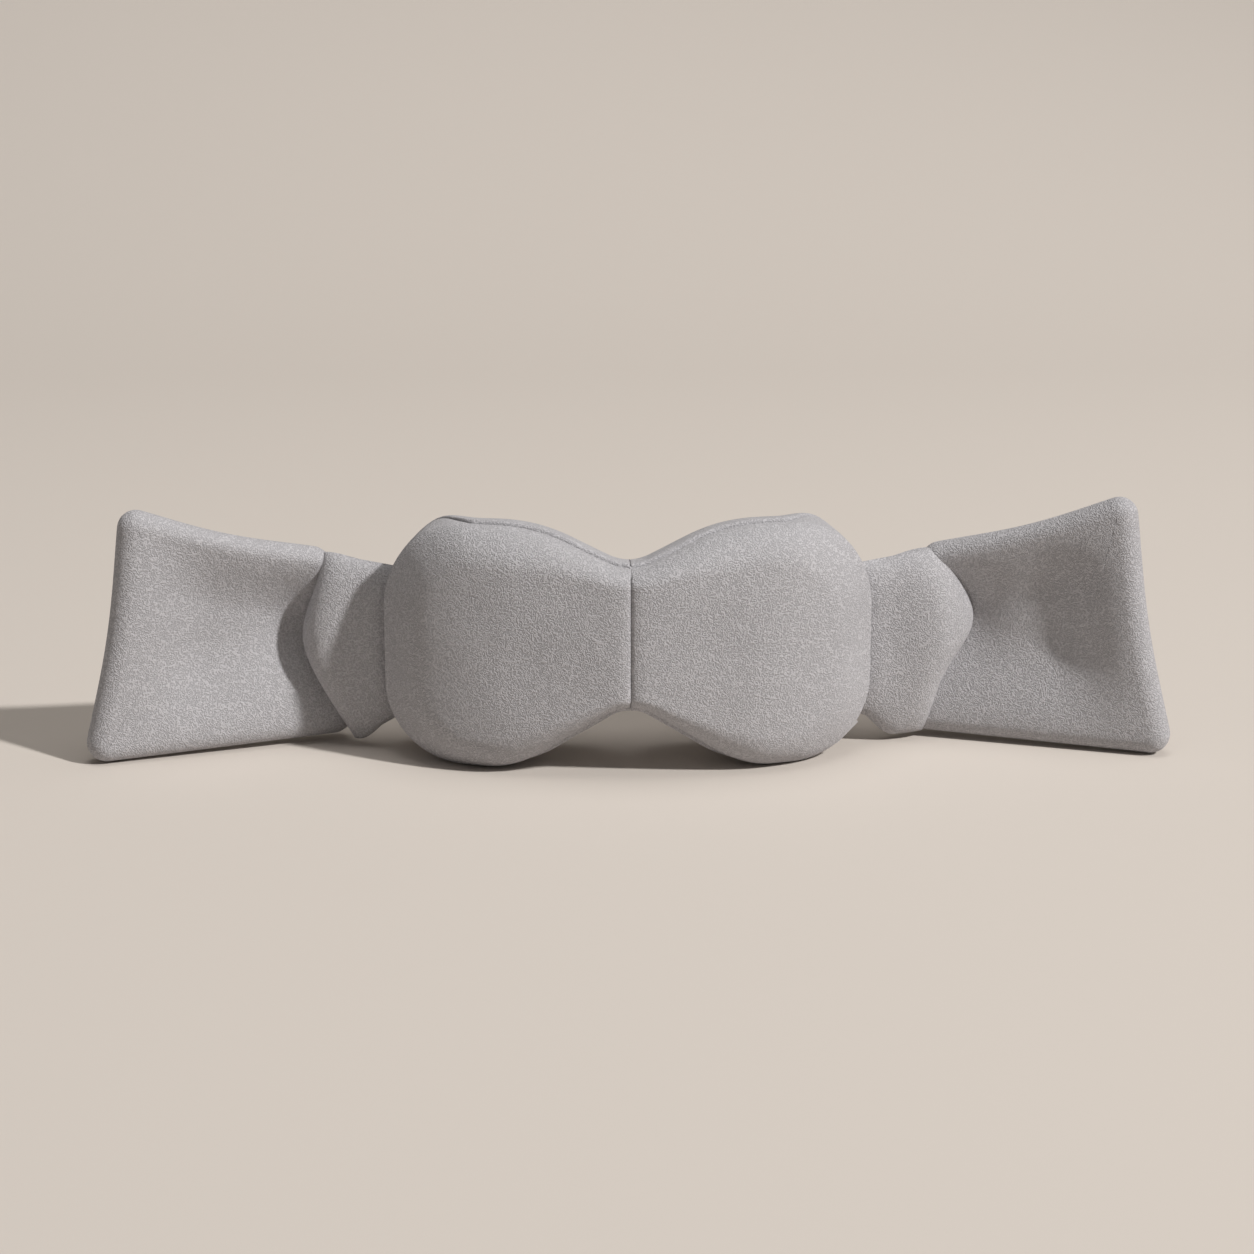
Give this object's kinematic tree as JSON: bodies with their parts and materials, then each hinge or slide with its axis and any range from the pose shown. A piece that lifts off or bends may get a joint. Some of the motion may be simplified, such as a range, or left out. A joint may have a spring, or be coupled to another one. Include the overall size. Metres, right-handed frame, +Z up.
{
  "type": "eye massager mask",
  "caption": "Plush eye massager mask: two padded vibrating, heated eye lobes that fold at a centre seam, with soft necks and flared wings that wrap the head.",
  "frame": {"origin": "middle of the footprint, on the surface that the mask stands on", "axes": "+X along the mask to the right as seen from the front, +Y from the front panels towards the wearer's face side, +Z up"},
  "size_m": [0.491, 0.0798, 0.1174],
  "materials": {
    "plush": "short looped microfibre plush, matte",
    "foam": "soft open-cell foam",
    "hard_shell": "fine spark-eroded texture",
    "film": "polyimide film",
    "steel": "nickel plated",
    "soft_rubber": "matte elastomer",
    "sensor": "epoxy bead",
    "weight_metal": "sintered tungsten",
    "elastic": "woven elastic band",
    "battery": "foil pouch",
    "board": "solder resist",
    "chip": "moulded epoxy",
    "trim": "fine matt texture",
    "button": "soft-touch",
    "light": "milky light pipe",
    "silicone": "matte silicone",
    "hook": "moulded hook tape"
  },
  "bodies": {
    "bridge": {"bridge_strip": "soft_rubber", "bridge_ribbon": "film", "nose_gusset": "plush"},
    "right_lobe": {"right_front_cover": "plush", "right_rear_cover": "plush", "right_front_foam": "foam", "right_eye_cushion": "foam", "right_eye_pad": "plush", "right_heater_film": "film", "right_core_tray": "hard_shell", "right_core_lid": "hard_shell", "right_case_screws": "steel", "right_thermistor": "sensor", "right_motor_can": "steel", "right_motor_boot": "soft_rubber", "control_board": "board", "board_parts": "chip", "control_housing": "trim", "button_board": "board", "tact_switch": "chip", "status_light": "light", "usb_port": "steel"},
    "left_lobe": {"left_front_cover": "plush", "left_rear_cover": "plush", "left_front_foam": "foam", "left_eye_cushion": "foam", "left_eye_pad": "plush", "left_heater_film": "film", "left_core_tray": "hard_shell", "left_core_lid": "hard_shell", "left_case_screws": "steel", "left_thermistor": "sensor", "left_motor_can": "steel", "left_motor_boot": "soft_rubber", "left_battery_cell": "battery"},
    "right_rotor": {"right_motor_shaft": "steel", "right_motor_weight": "weight_metal"},
    "left_rotor": {"left_motor_shaft": "steel", "left_motor_weight": "weight_metal"},
    "power_button": {"power_button": "button"},
    "port_cover": {"port_cover": "silicone"},
    "right_neck": {"right_neck_cover": "plush", "right_neck_padding": "foam", "right_neck_webbing": "elastic"},
    "left_neck": {"left_neck_cover": "plush", "left_neck_padding": "foam", "left_neck_webbing": "elastic"},
    "right_wing": {"right_wing_front_panel": "plush", "right_wing_back_panel": "plush", "right_wing_padding": "foam", "hook_patch": "hook"},
    "left_wing": {"left_wing_front_panel": "plush", "left_wing_back_panel": "plush", "left_wing_padding": "foam"}
  },
  "joints": [
    {"name": "right_fold", "type": "hinge", "parent": "bridge", "child": "right_lobe", "pos_m": [0, -0.03038, 0.054], "axis": [0, 0, 1], "range_deg": [-5, 12]},
    {"name": "left_fold", "type": "hinge", "parent": "bridge", "child": "left_lobe", "pos_m": [0, -0.03038, 0.054], "axis": [0, 0, -1], "range_deg": [-5, 12]},
    {"name": "right_neck_swing", "type": "hinge", "parent": "right_lobe", "child": "right_neck", "pos_m": [0.11949, 0.02336, 0.052], "axis": [0, 0, 1], "range_deg": [-10, 50]},
    {"name": "left_neck_swing", "type": "hinge", "parent": "left_lobe", "child": "left_neck", "pos_m": [-0.11949, 0.02336, 0.052], "axis": [0, 0, -1], "range_deg": [-10, 50]},
    {"name": "right_wing_swing", "type": "hinge", "parent": "right_neck", "child": "right_wing", "pos_m": [0.144, 0.03225, 0.05], "axis": [0, 0, 1], "range_deg": [-25, 60]},
    {"name": "left_wing_swing", "type": "hinge", "parent": "left_neck", "child": "left_wing", "pos_m": [-0.144, 0.03225, 0.05], "axis": [0, 0, -1], "range_deg": [-25, 60]},
    {"name": "right_motor_spin", "type": "hinge", "parent": "right_lobe", "child": "right_rotor", "pos_m": [0.03675, 0.00114, 0.044], "axis": [0.9877, 0.1564, 0], "continuous": true},
    {"name": "left_motor_spin", "type": "hinge", "parent": "left_lobe", "child": "left_rotor", "pos_m": [-0.03675, 0.00114, 0.044], "axis": [-0.9877, 0.1564, 0], "continuous": true},
    {"name": "power_button_press", "type": "slide", "parent": "right_lobe", "child": "power_button", "axis": [-0.6984, -0.1106, 0.7071], "range_m": [0, 0.0008], "stiffness_N_per_m": 800, "springref_m": -0.0004},
    {"name": "port_cover_flip", "type": "hinge", "parent": "right_lobe", "child": "port_cover", "pos_m": [0.09724, 0.01912, 0.01104], "axis": [0.6984, 0.1106, 0.7071], "range_deg": [0, 110], "stiffness_Nm_per_rad": 0.0004}
  ],
  "couplings": [
    {"joint": "left_fold", "follows": "right_fold", "ratio": 1}
  ]
}
